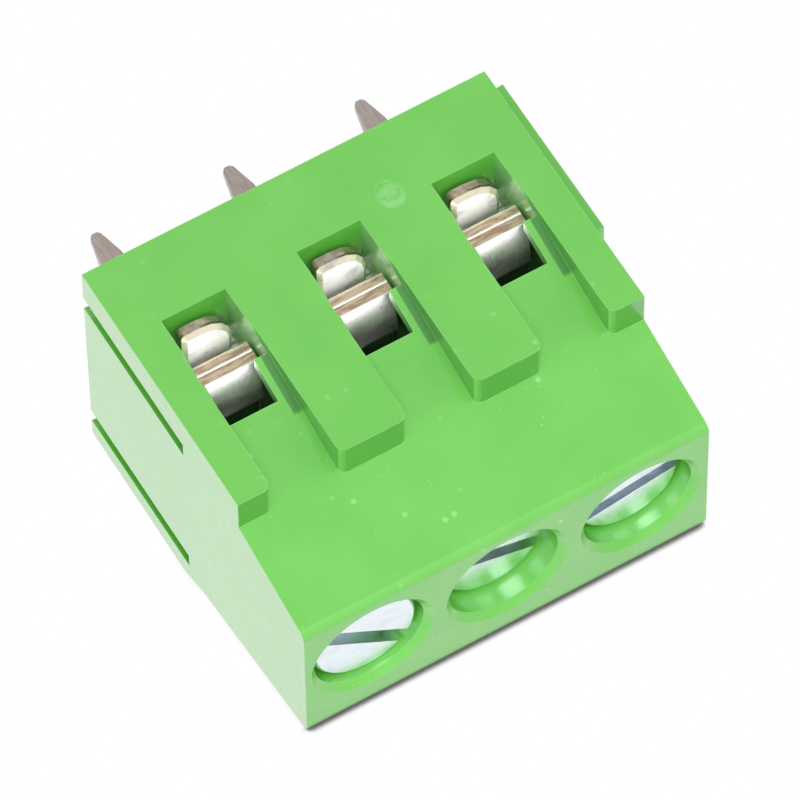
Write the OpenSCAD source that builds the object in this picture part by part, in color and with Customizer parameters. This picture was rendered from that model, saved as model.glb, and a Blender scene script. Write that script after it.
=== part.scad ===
// Three-pole screw terminal block for circuit boards, 5.08 mm pitch, with wire guards.
// Frame: origin on the board plane at the middle solder pin, +Z up to the screws,
// +X along the row of poles, wires enter towards +Y through the front face at -Y.

/* [Row of poles] */
// number of poles
poles = 3; // [2:1:6]
// distance between neighbouring poles
pitch = 5.08; // [5:0.01:5.08]

/* [Housing] */
// height of the housing over the board
body_h = 14.2; // [12:0.1:18]
// depth of the foot, front to back
foot_d = 10.1; // [8:0.1:13]
// distance from the front face to the screw and pin axis
axis_y = 5.25; // [4:0.05:7]
// depth of the top face, front to back
top_d = 6.1; // [5:0.1:8]
// height at which the front starts to lean back
lean_z = 4.35; // [2:0.05:8]
// height of the foot's straight back
heel_z = 6.2; // [3:0.1:9]
// height of the ribs between the wire entries
rib_h = 10.1; // [8:0.1:13]
// width of a rib
rib_w = 2.55; // [1.5:0.05:3]

/* [Wire entry] */
// width of a wire entry
entry_w = 2.4; // [2:0.05:3]
// lower edge of a wire entry
entry_z = 2.85; // [1.5:0.05:4]
// height of a wire entry
entry_h = 4.2; // [3:0.05:5]
// height over the board at which the wire entry becomes narrower
entry_step = 5.5; // [4:0.05:7]
// thickness of the leaning front wall over the step
skin = 0.45; // [0.3:0.05:1]

/* [Screw bore] */
// diameter of the bore over the screw head
bore_d = 4.1; // [3.5:0.1:4.6]
// width of the chamfer at the bore's mouth
bore_lip = 0.25; // [0.1:0.05:0.5]

/* [Dovetails] */
// how far a dovetail rail stands out
rail_out = 0.7; // [0.3:0.05:1]
// height of the rails and slots over the board
rail_h = 6.45; // [4:0.05:8]
// width of a rail at its root
rail_w = 0.55; // [0.4:0.05:1]

/* [Contact] */
// thickness of the contact sheet
sheet = 0.5; // [0.4:0.05:1]
// top face of the lower jaw
jaw_z = 3.65; // [3.4:0.05:4.2]
// width of the solder pin
pin_w = 1; // [0.6:0.05:1.3]
// length of the solder pin under the board plane
pin_len = 4; // [3:0.05:5]

/* [Wire guard] */
// thickness of the wire guard
leaf = 0.4; // [0.2:0.05:0.6]
// top of the wire guard under the screw
leaf_z = 5; // [4.8:0.05:6]

/* [Screw] */
// diameter over the thread
thread_d = 2.9; // [2.5:0.1:3.5]
// diameter of the head
head_d = 3.9; // [3.4:0.1:4]
// height of the head
head_h = 1.8; // [1.2:0.1:2.4]
// length under the head
shank_l = 6.3; // [4:0.1:8]
// depth of each head under the rim, from the pole at -X
head_depth = [0.75, 0.95, 0.4]; // [0.2:0.05:1.5]
// direction of each slot in degrees, from the pole at -X
slot_turn = [10, -18, -38]; // [-90:1:90]

/* [Hidden] */
$fn = 64;
fine = 0.01;

row_w = poles * pitch;
front = -axis_y;
back = front + foot_d;
lean = 0.2457;                       // front's lean, depth over height
top_front = front + lean * (body_h - lean_z);
top_back = top_front + top_d;
waist = [4.4, 7.5];                  // where the back's slope starts
// room for the metal parts in each pole
room_w = 3.9;
room_front = -2.85;
room_back = 3;
room_top = 9.4;
// contact
back_plate = room_back - 0.15;       // rear face of the contact's back
top_leg = room_top;                  // top face of the threaded leg
jaw_tip = front + 0.45;
jaw_w = 2;
collar = 0.8;
coin = 0.16;                         // chamfer round the tongue's top
gate = [-2.54, 2.35];                // centre of the moulding gate on a rib, x and z

function lean_y(z) = front + lean * max(0, z - lean_z);
function pole_x(n) = (n - (poles + 1) / 2) * pitch;
// points of a corner at p rounded by r, between the edges towards a and b
function unit(v) = v / norm(v);
function corner(a, p, b, r, steps = 4) =
    let (u = unit(a - p), v = unit(b - p), half = acos(u * v) / 2,
         c = p + unit(u + v) * r / sin(half), s = p + u * r / tan(half) - c,
         turn = (180 - 2 * half) * sign(u[0] * v[1] - u[1] * v[0]))
    [for (i = [0 : steps]) let (t = -turn * i / steps)
        c + [s[0] * cos(t) - s[1] * sin(t), s[0] * sin(t) + s[1] * cos(t)]];
// closed outline [[y, z, radius], ...] with each corner rounded
function rounded(pts) =
    [for (i = [0 : len(pts) - 1])
        let (n = len(pts), p = pts[i], a = pts[(i + n - 1) % n], b = pts[(i + 1) % n])
        each p[2] > 0 ? corner([a[0], a[1]], [p[0], p[1]], [b[0], b[1]], p[2])
                      : [[p[0], p[1]]]];

// a side profile, drawn as [y, z], run along x from x0 for a width of w
module run_x(x0, w) {
    translate([x0, 0, 0]) rotate([90, 0, 90]) linear_extrude(w) children();
}

// rib whose left and right upper corners are rounded by r[0] and r[1]
module rib(x, w, r = [0.3, 0.3]) {
    y_in = lean_y(rib_h) + 0.4;
    translate([x, y_in, 0]) rotate([90, 0, 0]) linear_extrude(y_in - front)
        polygon(rounded([[-w / 2, 0, 0], [w / 2, 0, 0],
                         [w / 2, rib_h, r[1]], [-w / 2, rib_h, r[0]]]));
}

// dovetail in plan, root on the y axis and growing towards -x
module dovetail(grow) {
    root = rail_w / 2 + grow;
    tip = root + 0.12;
    polygon([[0.2, -root], [0.2, root], [0, root], [-rail_out - grow, tip],
             [-rail_out - grow, -tip], [0, -root]]);
}

module dovetails(x, grow) {
    for (y = [front + 1.75, front + 8.95])
        translate([x, y, -grow]) linear_extrude(rail_h + 2 * grow) dovetail(grow);
}

module housing() {
    color([0.36, 0.72, 0.32]) difference() {
        union() {
            run_x(-row_w / 2, row_w) polygon(rounded([
                [front, 0, 0], [front, lean_z, 0],
                [top_front, body_h, 0.35], [top_back, body_h, 0.2],
                [waist[0], waist[1], 0.4], [back, heel_z, 0.4], [back, 0, 0.15]]));
            for (n = [1 : poles - 1]) rib(pole_x(n) + pitch / 2, rib_w);
            rib(-row_w / 2 + rib_w / 4, rib_w / 2, [0, 0.3]);
            rib(row_w / 2 - rib_w / 4, rib_w / 2, [0.3, 0]);
            dovetails(-row_w / 2, 0);
        }
        dovetails(row_w / 2, 0.05);
        for (n = [1 : poles]) translate([pole_x(n), 0, 0]) {
            // wire entry, narrower over the step
            translate([-entry_w / 2, front - 1, entry_z])
                cube([entry_w, room_front - front + 2, entry_step - entry_z]);
            translate([-0.3 * entry_w, front - 1, entry_z])
                cube([0.77 * entry_w, room_front - front + 2, entry_h]);
            // hollow behind the leaning wall, in which the wire guard rises
            run_x(-room_w / 2, room_w) polygon([
                [lean_y(5.4) + skin, 5.4], [lean_y(7.6) + skin, 7.6],
                [room_front + 0.1, 7.6], [room_front + 0.1, 5.4]]);
            // room for the contact, open to the board
            translate([-room_w / 2, room_front, -1])
                cube([room_w, room_back - room_front, room_top + 1]);
            // screw bore and its chamfered mouth
            translate([0, 0, room_top - 1]) cylinder(d = bore_d, h = body_h);
            translate([0, 0, body_h - bore_lip])
                cylinder(r1 = bore_d / 2, r2 = bore_d / 2 + 2 * bore_lip,
                         h = 2 * bore_lip);
        }
        // moulding gate, a shallow round dimple with the sprue's stub in it
        translate([gate[0], front + 0.05, gate[1]]) rotate([90, 0, 0])
            difference() {
                cylinder(d = 0.8, h = 1);
                cylinder(d = 0.3, h = 0.05);
            }
    }
}

// the tongue in plan, cut square on its +X side and round on the other
module tongue() {
    polygon(rounded([[-jaw_w / 2, room_front + 0.2, 0], [-jaw_w / 2, jaw_tip, 1.15],
                     [jaw_w / 2 - 0.15, jaw_tip, 0.2],
                     [jaw_w / 2 - 0.15, room_front + 0.2, 0]]));
}

module contact(n) {
    w = room_w - 0.1;
    pin_top = jaw_z - sheet;
    color([0.80, 0.78, 0.72]) translate([pole_x(n), 0, 0]) difference() {
        union() {
            // lower jaw, back and threaded leg, bent from one strip
            run_x(-w / 2, w) polygon(rounded([
                [room_front + 0.1, pin_top, 0], [back_plate, pin_top, sheet],
                [back_plate, top_leg, sheet], [room_front + 0.1, top_leg, 0],
                [room_front + 0.1, top_leg - sheet, 0],
                [back_plate - sheet, top_leg - sheet, 0.1],
                [back_plate - sheet, jaw_z, 0.1], [room_front + 0.1, jaw_z, 0]]));
            // tongue of the lower jaw in the wire entry, coined round its top
            translate([0, 0, pin_top]) {
                linear_extrude(sheet - coin) tongue();
                translate([0, 0, sheet - coin - fine]) hull() {
                    linear_extrude(fine) tongue();
                    translate([0, 0, coin]) linear_extrude(fine) offset(-coin) tongue();
                }
            }
            // drawn collar round the thread
            translate([0, 0, top_leg - sheet - collar])
                cylinder(r = thread_d / 2 + 0.4, h = collar + 0.1);
            // solder pin, its tip tapered both ways
            intersection() {
                translate([0, sheet / 2, 0]) rotate([90, 0, 0]) linear_extrude(sheet)
                    polygon([[-pin_w / 2, pin_top + 0.1], [-pin_w / 2, 1.8 - pin_len],
                        [-0.4, 1.1 - pin_len], [-0.2, 0.12 - pin_len],
                        [-0.1, -pin_len], [0.1, -pin_len], [0.2, 0.12 - pin_len],
                        [0.4, 1.1 - pin_len], [pin_w / 2, 1.8 - pin_len],
                        [pin_w / 2, pin_top + 0.1]]);
                run_x(-pin_w, 2 * pin_w) polygon([
                    [-sheet / 2, pin_top + 0.2], [-sheet / 2, 1.1 - pin_len],
                    [-0.12, -pin_len], [0.12, -pin_len],
                    [sheet / 2, 1.1 - pin_len], [sheet / 2, pin_top + 0.2]]);
            }
        }
        translate([0, 0, top_leg - 3]) cylinder(d = thread_d + 0.1, h = 4);
    }
}

module wire_guard(n) {
    low = leaf_z - leaf;
    tip = front + 1.1;
    crest = front + 3.2;
    tail = back_plate - sheet - 0.05;
    color([0.86, 0.84, 0.78]) translate([pole_x(n), 0, 0])
        run_x(-entry_w / 2 + 0.1, entry_w - 0.2) polygon(rounded([
            [tip + 0.03, leaf_z + 0.1, 0.06], [crest, leaf_z + 0.4, 0.25],
            [crest + 0.7, leaf_z, 0.3], [tail - leaf, leaf_z, 0.1],
            [tail - leaf, leaf_z + 1.2, 0], [tail, leaf_z + 1.2, 0],
            [tail, low, leaf], [crest + 0.55, low, 0.5],
            [crest - 0.1, low + 0.35, 0.4],
            // the lip's edge is folded back under it
            [tip + 0.85, low + 0.1, 0.1], [tip + 0.75, low - 0.3, 0.15],
            [tip, low - 0.3, 0.1], [tip, low + 0.1, 0.05],
            [tip + 0.1, low + 0.12, 0], [tip, low + 0.14, 0.05]]));
}

module screw(n) {
    top = body_h - head_depth[n - 1];
    slot_w = 0.6;
    slot_d = 0.9;
    color([0.75, 0.80, 0.86]) translate([pole_x(n), 0, top]) difference() {
        rotate_extrude() polygon([
            [0, 0], [head_d / 2 - 0.2, 0], [head_d / 2, -0.2], [head_d / 2, -head_h],
            [thread_d / 2, -head_h], [thread_d / 2, -head_h - shank_l + 0.4],
            [thread_d / 2 - 0.4, -head_h - shank_l], [0, -head_h - shank_l]]);
        rotate([0, 0, slot_turn[n - 1]]) translate([-head_d, -slot_w / 2, -slot_d])
            cube([2 * head_d, slot_w, slot_d + 1]);
    }
}

housing();
contact(1);  // contact_1
contact(2);  // contact_2
contact(3);  // contact_3
wire_guard(1);  // wire_guard_1
wire_guard(2);  // wire_guard_2
wire_guard(3);  // wire_guard_3
screw(1);  // screw_1
screw(2);  // screw_2
screw(3);  // screw_3
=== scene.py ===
"""Looks of the screw terminal block: finish, light, floor and camera, in the CAD's frame."""
import bpy
import bmesh
import math
from mathutils import Matrix, Vector


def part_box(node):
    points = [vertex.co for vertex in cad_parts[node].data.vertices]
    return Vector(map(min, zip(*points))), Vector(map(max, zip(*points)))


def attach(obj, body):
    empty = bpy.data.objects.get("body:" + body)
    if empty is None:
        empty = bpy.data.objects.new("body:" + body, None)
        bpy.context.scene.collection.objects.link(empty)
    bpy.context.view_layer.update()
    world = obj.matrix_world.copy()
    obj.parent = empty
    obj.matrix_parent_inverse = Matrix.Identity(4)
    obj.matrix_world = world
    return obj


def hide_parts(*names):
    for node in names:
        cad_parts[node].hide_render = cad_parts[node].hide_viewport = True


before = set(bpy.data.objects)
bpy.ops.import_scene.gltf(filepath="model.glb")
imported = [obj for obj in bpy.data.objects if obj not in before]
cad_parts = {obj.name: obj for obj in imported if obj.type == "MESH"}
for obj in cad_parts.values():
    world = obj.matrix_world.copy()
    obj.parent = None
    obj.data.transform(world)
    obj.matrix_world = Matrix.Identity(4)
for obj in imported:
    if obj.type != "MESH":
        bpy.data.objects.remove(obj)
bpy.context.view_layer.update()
MM = 0.001

# the block, in mm, with the values of part.scad
PITCH = 5.08
POLES = {1: -PITCH, 2: 0.0, 3: PITCH}    # x of each pole
FRONT = -5.25                            # y of the front face
LEAN_Z, LEAN = 4.35, 0.2457              # where the front starts to lean, and by how much
END = (7.5, 7.6)                         # x just inside the end faces
ENTRY_X = -1.12                          # side of an entry that has a rib beside it
HEAD_H = 1.8                             # height of a screw's head
GATE = (-2.56, FRONT, 2.56)              # middle of the gate mark's scuffed patch

# the camera, in mm, from a fit to the photo's edges with a housing 15.24 mm wide
CAMERA_AT = (79.64, -271.42, 146.35)
CAMERA_VIEW = (-0.2536, 0.8601, -0.4426)
CAMERA_DOWN = (0.4420, 0.5100, 0.7379)   # what points down in the picture
CAMERA_LENS, CAMERA_SENSOR = 432.6, 36.0

# light
AIM = (0, 0, 7)                          # point that the lamps face, mm
WORLD_LEVEL = 0.62

scene = bpy.context.scene
scene.view_settings.view_transform = "Standard"


# ------------------------------------------------------------------ camera
def make_camera():
    data = bpy.data.cameras.new("camera")
    data.sensor_width = CAMERA_SENSOR
    data.lens = CAMERA_LENS
    data.clip_start, data.clip_end = 0.01, 5.0
    cam = bpy.data.objects.new("camera", data)
    scene.collection.objects.link(cam)
    forward = Vector(CAMERA_VIEW).normalized()
    down = Vector(CAMERA_DOWN)
    up = -(down - forward * down.dot(forward)).normalized()
    right = forward.cross(up)
    turn = Matrix((right, up, -forward)).transposed()
    cam.matrix_world = Matrix.Translation(Vector(CAMERA_AT) * MM) @ turn.to_4x4()
    scene.camera = cam


# ------------------------------------------------------------------ shader helpers
class Nodes:
    """A material's node tree with short ways to add and join nodes."""

    def __init__(self, name):
        self.mat = bpy.data.materials.new(name)
        self.mat.use_nodes = True
        self.tree = self.mat.node_tree
        self.tree.nodes.clear()
        self.out = self.tree.nodes.new("ShaderNodeOutputMaterial")

    def add(self, kind, inputs=None, **props):
        node = self.tree.nodes.new("ShaderNode" + kind)
        for key, value in props.items():
            setattr(node, key, value)
        for key, value in (inputs or {}).items():
            self.put(node.inputs[key], value)
        return node

    def put(self, socket, value):
        """Joins another node's output to the socket, or sets a number or colour on it."""
        if isinstance(value, bpy.types.NodeSocket):
            self.tree.links.new(value, socket)
        elif hasattr(socket.default_value, "__len__"):
            value = tuple(value)
            size = len(socket.default_value)
            socket.default_value = value + (1.0,) * (size - len(value))
        else:
            socket.default_value = value

    def math(self, op, a, b=0.0, c=0.0):
        node = self.add("Math", operation=op)
        for socket, value in zip(node.inputs, (a, b, c)):
            self.put(socket, value)
        return node.outputs[0]

    def times(self, first, *others):
        """The product of all the values."""
        for value in others:
            first = self.math("MULTIPLY", first, value)
        return first

    def mix(self, factor, a, b):
        node = self.add("Mix", data_type="RGBA", clamp_factor=True)
        self.put(node.inputs[0], factor)
        self.put(node.inputs[6], a)
        self.put(node.inputs[7], b)
        return node.outputs[2]

    def tint(self, base, mask, share, colour):
        """base, with this share of the colour where the mask is one."""
        return self.mix(self.times(mask, share), base, colour)

    def place(self):
        """The point in mm and its normal, both in the object's axes and split in three."""
        if not hasattr(self, "_place"):
            tex = self.add("TexCoord")
            scale = self.add("VectorMath", operation="SCALE")
            self.put(scale.inputs[0], tex.outputs["Object"])
            scale.inputs["Scale"].default_value = 1 / MM
            self.mm = scale.outputs[0]
            split = self.add("SeparateXYZ", {0: self.mm})
            turn = self.add("SeparateXYZ", {0: tex.outputs["Normal"]})
            self._place = split.outputs[:3], turn.outputs[:3]
        return self._place

    def noise(self, scale, detail=3.0, rough=0.55, stretch=None):
        """Cloudy noise of 0 to 1, this many features a mm."""
        self.place()
        vector = self.mm
        if stretch:
            move = self.add("VectorMath", {0: vector, 1: stretch}, operation="MULTIPLY")
            vector = move.outputs[0]
        node = self.add("TexNoise", {"Vector": vector, "Scale": scale, "Detail": detail,
                                     "Roughness": rough})
        return node.outputs["Fac"]

    def ramp(self, value, low, high, out_low=0.0, out_high=1.0, smooth=True):
        node = self.add("MapRange", {0: value, 1: low, 2: high, 3: out_low, 4: out_high},
                        interpolation_type="SMOOTHSTEP" if smooth else "LINEAR")
        return node.outputs[0]

    def fade(self, value, low, high):
        """One up to low and nothing from high on."""
        return self.ramp(value, low, high, 1.0, 0.0)

    def bump(self, height, strength, distance, normal=None):
        node = self.add("Bump", {"Height": height, "Strength": strength,
                                 "Distance": distance * MM})
        if normal is not None:
            self.put(node.inputs["Normal"], normal)
        return node.outputs[0]

    def principled(self, **inputs):
        names = {key.replace("_", " "): value for key, value in inputs.items()}
        node = self.add("BsdfPrincipled", names)
        self.tree.links.new(node.outputs[0], self.out.inputs[0])


# ------------------------------------------------------------------ plastic
def gate_patch(n, base):
    """The gate mark: a paler, scuffed patch on the front, below a rib."""
    away = n.add("VectorMath", {0: n.mm, 1: GATE}, operation="DISTANCE")
    patch = n.ramp(n.noise(3.0, 2.0), 0.35, 0.6, 0.25, 0.75)
    patch = n.times(patch, n.fade(away.outputs["Value"], 0.40, 0.56))
    return n.mix(patch, base, (0.26, 0.68, 0.21))


def dust(n, base):
    """Specks of two sizes in patches, thickest on the leaning front."""
    (_, _, z), _ = n.place()
    layers = []
    for scale, inner, outer, patches, thin, thick in (
            (1.3, 0.03, 0.20, n.noise(0.7, 2.0), 0.50, 0.60),
            (5.0, 0.09, 0.16, n.noise(1.3, 3.0), 0.56, 0.64)):
        cells = n.add("TexVoronoi", {"Vector": n.mm, "Scale": scale, "Randomness": 1.0})
        specks = n.fade(cells.outputs["Distance"], inner, outer)
        layers.append(n.times(specks, n.ramp(patches, thin, thick)))
    mask = n.times(n.math("MAXIMUM", *layers), n.ramp(z, 6.0, 11.0, 0.25, 1.0))
    return n.tint(base, mask, 0.5, (0.46, 0.86, 0.38))


def painted_face_light_and_shade(n, base):
    """Painted light and shade on each kind of face: pale ends and paler inner walls as
    painted highlights, deep rib sides and rib ends as painted shade.
    """
    (x, y, z), (nx, _, nz) = n.place()
    # painted highlight: the end faces made paler
    end = n.times(n.ramp(n.math("ABSOLUTE", x), *END),
                  n.ramp(n.math("ABSOLUTE", nx), 0.8, 0.95))
    base = n.tint(base, end, 0.25, (0.74, 0.86, 0.72))
    # faces towards +x near the front: rib sides where proud of the lean get painted shade,
    # else inner walls get a painted highlight
    side = n.times(n.ramp(nx, 0.8, 0.95), n.fade(y, -3.62, -3.58), n.fade(x, *END))
    lean_y = n.math("ADD", n.times(n.math("SUBTRACT", z, LEAN_Z), LEAN), FRONT)
    proud = n.ramp(n.math("SUBTRACT", lean_y, y), -0.02, 0.02)
    base = n.tint(base, n.times(side, proud), 0.75, (0.050, 0.270, 0.022))
    # the ribs' upper ends, darkened as painted shade
    top = n.times(n.ramp(nz, 0.7, 0.9), n.fade(y, -3.9, -3.8), n.ramp(z, 9.6, 9.8))
    base = n.tint(base, top, 0.6, (0.050, 0.260, 0.022))
    # painted highlight: the inner walls made paler
    inner = n.times(side, n.math("SUBTRACT", 1.0, proud))
    return n.tint(base, inner, 0.45, (0.40, 0.66, 0.40))


def painted_groove_shade(n, base):
    """Painted shade for the groove on the leaning front between an entry's rim and the rib
    beside it: a dark band.
    """
    (x, y, z), (_, _, nz) = n.place()
    lane = n.math("PINGPONG", n.math("SUBTRACT", x, ENTRY_X), PITCH / 2)
    groove = n.times(n.fade(lane, 0.13, 0.19), n.ramp(z, 4.5, 4.9), n.fade(z, 7.6, 7.75))
    slant = n.times(n.ramp(nz, 0.1, 0.2), n.fade(y, -4.2, -4.0))
    # painted shade: the groove's band darkened
    return n.tint(base, n.times(groove, slant), 0.95, (0.040, 0.230, 0.030))


def painted_edge_highlights(n, base):
    """Painted highlights along the edges, patchy, found where a rounded normal leaves the
    true one.
    """
    rounded = n.add("Bevel", {"Radius": 0.07 * MM}, samples=6)
    true = n.add("NewGeometry")
    dot = n.add("VectorMath", {0: rounded.outputs[0], 1: true.outputs["Normal"]},
                operation="DOT_PRODUCT")
    edge_highlight = n.times(n.fade(dot.outputs["Value"], 0.86, 0.99),
                  n.ramp(n.noise(1.6, 3.0), 0.35, 0.6, 0.25, 0.8))
    # painted highlight: the edges made paler
    return n.tint(base, edge_highlight, 0.6, (0.36, 0.76, 0.32))


def plastic():
    """Glossy green moulded plastic: cloudy tint, fine orange peel, what lies on it, and
    painted light and shade on its faces, groove and edges.
    """
    n = Nodes("green_plastic")
    n.place()
    cloud = n.ramp(n.noise(0.35, 3.0), 0.3, 0.7)
    base = n.mix(cloud, (0.128, 0.540, 0.056), (0.150, 0.570, 0.070))
    fine = n.ramp(n.noise(9.0, 4.0, 0.6), 0.62, 0.8, 0.0, 0.25)
    base = n.mix(fine, base, (0.22, 0.62, 0.14))
    for layer in (gate_patch, dust, painted_face_light_and_shade, painted_groove_shade, painted_edge_highlights):
        base = layer(n, base)
    normal = n.bump(n.noise(26.0, 4.0, 0.6), 0.10, 0.02)
    rough = n.ramp(n.noise(2.2, 3.0), 0.3, 0.7, 0.32, 0.42, smooth=False)
    n.principled(Base_Color=base, Roughness=rough, IOR=1.5, Coat_Weight=1.0,
                 Coat_Roughness=0.14, Coat_IOR=1.6, Normal=normal)
    return n.mat


# ------------------------------------------------------------------ metals
def plated(n, colour, stain):
    """Plating with cloudy stains and fine brushing along y; returns colour and brushing."""
    cloud = n.noise(1.3, 4.0, 0.6)
    drawn = n.noise(1.0, 3.0, 0.6, stretch=(14.0, 1.6, 1.6))
    base = n.mix(n.ramp(cloud, 0.45, 0.75, 0.0, 0.5), colour, stain)
    return n.mix(n.ramp(drawn, 0.45, 0.8, 0.0, 0.3), base, stain), drawn


def bowed(n, y, front, back, slope_front, slope_back):
    """Height in mm of a sheet that bows along y, with these slopes at its two ends."""
    t = n.math("SUBTRACT", n.math("MINIMUM", n.math("MAXIMUM", y, front), back), front)
    curve = (slope_back - slope_front) / (back - front) / 2
    return n.times(t, n.math("MULTIPLY_ADD", t, curve, slope_front))


def contact_metal():
    """Tinned brass: pale coined tongue with a brown sheared edge and a cream painted
    highlight along its coined edge, dull pins.
    """
    n = Nodes("tinned_brass")
    (_, y, z), (_, _, nz) = n.place()
    base, drawn = plated(n, (0.97, 0.95, 0.93), (0.72, 0.65, 0.62))
    level = n.math("ABSOLUTE", nz)
    jaw = n.times(n.ramp(z, 3.0, 3.05), n.fade(y, -2.9, -2.8))
    streak = n.noise(1.0, 3.0, 0.6, stretch=(3.0, 3.0, 5.0))
    brown = n.mix(n.ramp(streak, 0.35, 0.65), (0.36, 0.28, 0.21), (0.60, 0.49, 0.38))
    base = n.mix(n.times(n.fade(level, 0.25, 0.5), jaw), base, brown)
    # painted highlight: a cream band on the coined edge's sloping faces
    coined = n.times(n.ramp(level, 0.45, 0.6), n.fade(level, 0.82, 0.92))
    base = n.mix(n.times(coined, jaw), base, (1.0, 0.90, 0.70))
    smudge = n.times(n.ramp(n.noise(1.1, 3.0, 0.6), 0.50, 0.66), jaw)
    base = n.tint(base, smudge, 0.6, (0.46, 0.42, 0.44))
    # painted, for the green that the back and the threaded leg reflect in the photo
    base = n.mix(n.ramp(z, 3.7, 3.9, 0.0, 0.7), base, (0.26, 0.50, 0.22))
    dull = n.mix(n.ramp(drawn, 0.3, 0.7), (0.42, 0.35, 0.31), (0.54, 0.47, 0.43))
    base = n.mix(n.fade(z, -0.3, 0.3), base, dull)
    dome = n.times(bowed(n, y, -4.8, -2.6, 1.15, 0.75), n.ramp(z, 3.4, 3.5))
    normal = n.bump(dome, 1.0, 1.0)
    normal = n.bump(n.noise(14.0, 3.0, 0.6, stretch=(2.5, 1.0, 1.0)), 0.3, 0.03, normal)
    rough = n.ramp(drawn, 0.3, 0.8, 0.30, 0.46, smooth=False)
    n.principled(Base_Color=base, Metallic=0.75, Roughness=rough, Normal=normal)
    return n.mat


def guard_metal():
    """Bright spring leaf whose front edge is folded back: brown cut bands, with cream painted
    highlights of its ridges.
    """
    n = Nodes("guard_brass")
    (_, y, z), (nx, _, nz) = n.place()
    base, drawn = plated(n, (0.98, 0.96, 0.93), (0.74, 0.68, 0.66))
    # towards the back it turns grey, then green: painted, for what it reflects in the photo
    haze = n.math("MULTIPLY_ADD", n.noise(1.7, 3.0, 0.6), 1.3, y)
    base = n.mix(n.ramp(haze, -2.55, -1.7, 0.0, 0.8), base, (0.44, 0.37, 0.40))
    base = n.mix(n.ramp(y, -1.95, -1.75, 0.0, 0.85), base, (0.20, 0.50, 0.16))
    # the lip: two pale bands, painted highlights of its ridges, that wander a little over
    # brown cut edges
    lip = n.times(n.fade(y, -4.0, -3.9), n.fade(nz, 0.3, 0.6))
    wave = n.math("MULTIPLY_ADD", n.noise(1.4, 3.0, 0.6, stretch=(1.0, 0.0, 0.0)), 0.22, z)
    bands = n.noise(1.0, 2.0, 0.6, stretch=(1.2, 1.0, 6.0))
    cut = n.mix(n.ramp(bands, 0.4, 0.6), (0.46, 0.33, 0.22), (0.72, 0.58, 0.42))
    low = n.times(n.ramp(wave, 4.40, 4.44), n.fade(wave, 4.50, 4.56))
    mid = n.times(n.ramp(wave, 4.74, 4.78), n.fade(wave, 4.82, 4.88), 0.8)
    cut = n.mix(n.math("MAXIMUM", low, mid), cut, (1.0, 0.88, 0.66))
    base = n.mix(lip, base, cut)
    side = n.ramp(n.math("ABSOLUTE", nx), 0.7, 0.9)
    base = n.tint(base, side, 0.6, (0.80, 0.74, 0.58))
    bow = n.times(bowed(n, y, -4.15, -1.9, 1.0, 0.0), n.ramp(nz, 0.3, 0.6))
    normal = n.bump(bow, 1.0, 1.0)
    normal = n.bump(n.noise(12.0, 3.0, 0.6, stretch=(2.5, 0.6, 1.0)), 0.35, 0.03, normal)
    rough = n.ramp(drawn, 0.3, 0.8, 0.26, 0.42, smooth=False)
    n.principled(Base_Color=base, Metallic=0.8, Roughness=rough, Normal=normal)
    return n.mat


def zinc_metal():
    """Bluish zinc plating with turning marks and a few stains."""
    n = Nodes("zinc_plate")
    cloud = n.ramp(n.noise(1.3, 4.0, 0.6), 0.45, 0.75, 0.0, 0.6)
    base = n.mix(cloud, (0.86, 0.92, 0.97), (0.66, 0.76, 0.85))
    normal = n.bump(n.noise(10.0, 3.0, 0.6, stretch=(1.0, 1.0, 3.0)), 0.25, 0.03)
    rough = n.ramp(n.noise(3.0, 3.0, 0.6), 0.3, 0.8, 0.16, 0.30, smooth=False)
    n.principled(Base_Color=base, Metallic=1.0, Roughness=rough, Normal=normal)
    return n.mat


# ------------------------------------------------------------------ CAD nodes
def use(node, mat):
    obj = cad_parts[node]
    if not obj.material_slots:
        obj.data.materials.append(mat)
    for slot in obj.material_slots:
        slot.material = mat
    return obj


def soften(obj, width, angle=35):
    """Rounds the edges sharper than the angle, in modifiers. The width is in mm."""
    merge = obj.modifiers.new("planes", "DECIMATE")
    merge.decimate_type = "DISSOLVE"
    merge.angle_limit = math.radians(0.5)
    mod = obj.modifiers.new("edges", "BEVEL")
    mod.width = width * MM
    mod.segments = 2
    mod.limit_method = "ANGLE"
    mod.angle_limit = math.radians(angle)
    mod.use_clamp_overlap = True
    flat = obj.modifiers.new("normals", "WEIGHTED_NORMAL")
    flat.keep_sharp = False
    flat.weight = 80


# ------------------------------------------------------------------ screws
def copied_head(node, neck):
    """A bmesh of the CAD screw from just below its neck upwards, open at the cut."""
    bm = bmesh.new()
    bm.from_mesh(node.data)
    overlap = 0.02 * MM
    bmesh.ops.bisect_plane(bm, geom=bm.verts[:] + bm.edges[:] + bm.faces[:], dist=1e-7,
                           plane_co=(0, 0, neck - overlap), plane_no=(0, 0, 1),
                           clear_inner=True)
    return bm


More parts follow.
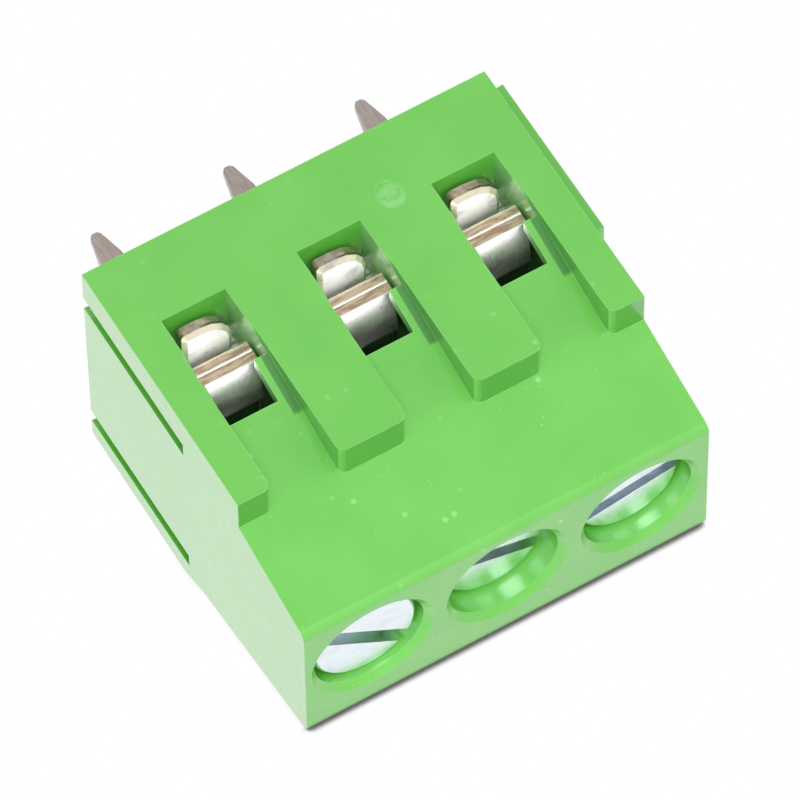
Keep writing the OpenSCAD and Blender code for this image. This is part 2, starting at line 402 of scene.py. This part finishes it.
def add_thread(bm, x0, bottom, top):
    """A closed M3 thread about the axis at x0, from bottom to top, in mm."""
    crest, root, pitch, steps = 1.45, 1.16, 0.5, 40
    point = 0.4                          # how far the tip's cone goes in under the crest
    profile = [(0.0, root), (0.07, root), (0.22, crest), (0.28, crest), (0.43, root)]
    last = len(profile) - 1
    count = int((top - bottom) / pitch + 2) * steps
    rings = []
    for i in range(count):
        turn = 2 * math.pi * i / steps
        row = []
        for rise, r in profile:
            z = bottom - pitch + pitch * i / steps + rise
            z = min(max(z, bottom), top)
            r = root if z >= top else min(r, crest - point + (z - bottom))
            row.append(bm.verts.new(((x0 + r * math.cos(turn)) * MM, r * math.sin(turn) * MM,
                                     z * MM)))
        rings.append(row)
    for i in range(count - 1):
        for p in range(last):
            bm.faces.new((rings[i][p], rings[i + 1][p], rings[i + 1][p + 1], rings[i][p + 1]))
        if i + 1 + steps < count:
            bm.faces.new((rings[i][last], rings[i + 1][last], rings[i + 1 + steps][0],
                          rings[i + steps][0]))
    tip = bm.verts.new((x0 * MM, 0, bottom * MM))
    end = bm.verts.new((x0 * MM, 0, top * MM))
    for i in range(steps):
        bm.faces.new((rings[i][0], tip, rings[i + 1][0]))
        j = count - 1 - steps + i
        bm.faces.new((rings[j][last], rings[j + 1][last], end))


def threaded_screw(k, mat):
    """The CAD screw's head over a shank with a real thread, in place of the CAD screw."""
    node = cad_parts[f"screw_{k}"]
    low, high = (Vector(c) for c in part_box(f"screw_{k}"))
    neck = high.z - HEAD_H * MM
    bm = copied_head(node, neck)
    add_thread(bm, POLES[k], low.z / MM, neck / MM)
    bmesh.ops.remove_doubles(bm, verts=bm.verts[:], dist=1e-7)
    bmesh.ops.recalc_face_normals(bm, faces=bm.faces[:])
    mesh = bpy.data.meshes.new(f"screw_m3_{k}")
    bm.to_mesh(mesh)
    bm.free()
    obj = bpy.data.objects.new(f"screw_m3_{k}", mesh)
    scene.collection.objects.link(obj)
    mesh.materials.clear()
    mesh.materials.append(mat)
    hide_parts(f"screw_{k}")
    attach(obj, f"screw_{k}")
    soften(obj, 0.05, angle=50)


# ------------------------------------------------------------------ light and floor
def make_world():
    """White where it is seen, mirrored or looked at through something; dimmer as a light."""
    world = bpy.data.worlds.new("studio")
    scene.world = world
    world.use_nodes = True
    tree = world.node_tree
    tree.nodes.clear()
    out = tree.nodes.new("ShaderNodeOutputWorld")
    path = tree.nodes.new("ShaderNodeLightPath")
    shown = path.outputs["Is Camera Ray"]
    for kind in ("Is Transmission Ray", "Is Glossy Ray"):
        either = tree.nodes.new("ShaderNodeMath")
        either.operation = "MAXIMUM"
        tree.links.new(shown, either.inputs[0])
        tree.links.new(path.outputs[kind], either.inputs[1])
        shown = either.outputs[0]
    mix = tree.nodes.new("ShaderNodeMixShader")
    tree.links.new(shown, mix.inputs[0])
    for socket, strength in ((1, WORLD_LEVEL), (2, 1.0)):
        sky = tree.nodes.new("ShaderNodeBackground")
        sky.inputs["Strength"].default_value = strength
        tree.links.new(sky.outputs[0], mix.inputs[socket])
    tree.links.new(mix.outputs[0], out.inputs[0])


def floor_look():
    """White where it is seen from the block's side, and clear to every other ray."""
    n = Nodes("floor")
    (_, _, z), _ = n.place()
    # painted contact shadow: the dark line where the upper back edge meets the table
    near = n.add("AmbientOcclusion", {"Distance": 0.4 * MM}, samples=8)
    dark = n.times(n.fade(near.outputs["AO"], 0.42, 0.72), n.ramp(z, 13.9, 14.15, 0.12, 1.0))
    glow = n.add("Emission", {"Color": n.mix(dark, (1, 1, 1), (0.055, 0.065, 0.045)),
                              "Strength": 1.0})
    path = n.add("LightPath")
    shown = n.math("MAXIMUM", path.outputs["Is Camera Ray"], path.outputs["Is Glossy Ray"])
    shown = n.math("MAXIMUM", shown, path.outputs["Is Transmission Ray"])
    clear = n.add("BsdfTransparent")
    lit = n.add("MixShader", {0: shown, 1: clear.outputs[0], 2: glow.outputs[0]})
    back = n.add("NewGeometry")
    both = n.add("MixShader", {0: back.outputs["Backfacing"], 1: lit.outputs[0],
                               2: clear.outputs[0]})
    n.tree.links.new(both.outputs[0], n.out.inputs[0])
    return n.mat


def make_floor():
    """The table under the block's back: it lies on its heel and its upper back edge."""
    heel, edge = Vector((0, 4.93, 6.1)), Vector((0, 3.36, 14.2))
    gap, half = 0.02, 400.0              # under the block, and half the floor's side, mm
    along = (edge - heel).normalized()
    normal = Vector((0, -along.z, along.y))       # towards the block
    side = Vector((1, 0, 0))
    at = heel - normal * gap
    corners = [tuple((at + side * a * half + along * b * half) * MM)
               for a, b in ((-1, -1), (1, -1), (1, 1), (-1, 1))]
    mesh = bpy.data.meshes.new("floor")
    mesh.from_pydata(corners, [], [(0, 1, 2, 3)])
    floor = bpy.data.objects.new("floor", mesh)
    scene.collection.objects.link(floor)
    if mesh.polygons[0].normal.dot(normal) < 0:
        mesh.flip_normals()
    mesh.materials.append(floor_look())


def lamp(name, at, size, level):
    """A round lamp that adds this level to a white surface that faces it at the aim."""
    data = bpy.data.lights.new(name, "AREA")
    data.shape = "DISK"
    data.size = size * MM
    far = (Vector(at) - Vector(AIM)).length * MM
    data.energy = level * (math.pi * far) ** 2
    obj = bpy.data.objects.new(name, data)
    obj.location = Vector(at) * MM
    obj.rotation_mode = "QUATERNION"
    obj.rotation_quaternion = (Vector(AIM) - Vector(at)).to_track_quat("-Z", "Y")
    scene.collection.objects.link(obj)


# ------------------------------------------------------------------ the scene
make_camera()
GREEN, TIN, LEAF, ZINC = plastic(), contact_metal(), guard_metal(), zinc_metal()
soften(use("housing", GREEN), 0.045)
for k in POLES:
    soften(use(f"contact_{k}", TIN), 0.03)
    soften(use(f"wire_guard_{k}", LEAF), 0.03)
    use(f"screw_{k}", ZINC)
    threaded_screw(k, ZINC)
make_world()
make_floor()
lamp("key", (45, -235, 175), 200, 0.62)
lamp("side", (270, -60, 50), 240, 0.46)
lamp("fill", (-190, -170, 120), 160, 0.12)
